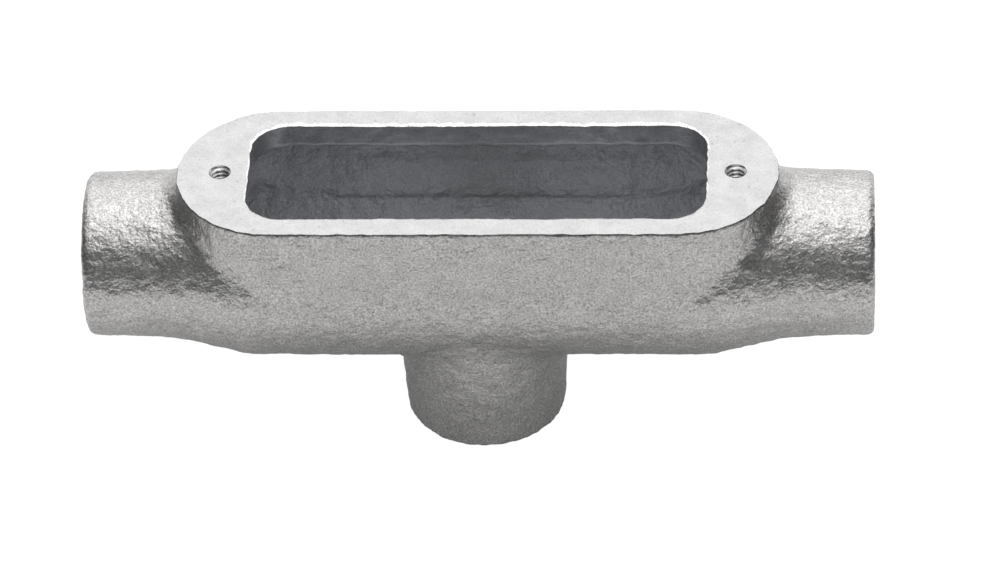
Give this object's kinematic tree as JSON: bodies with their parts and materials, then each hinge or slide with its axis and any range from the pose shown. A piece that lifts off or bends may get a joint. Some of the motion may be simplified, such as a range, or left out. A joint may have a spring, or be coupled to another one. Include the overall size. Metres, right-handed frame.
{
  "type": "conduit body",
  "caption": "Cast tee conduit body: threaded hubs at both ends of the run and on the back, and a flat ground cover seat round a long open wiring chamber.",
  "frame": {"origin": "centre of the branch hub's mouth, on which the body stands", "axes": "+X along the run, +Z out of the cover seat, opposite the branch hub, +Y across the opening"},
  "size_m": [0.1306, 0.0338, 0.0487],
  "materials": {
    "cast_body": "zinc-plated rough casting; cover seat ground flat and bright"
  },
  "bodies": {
    "root": {"conduit_body": "cast_body"}
  },
  "joints": []
}
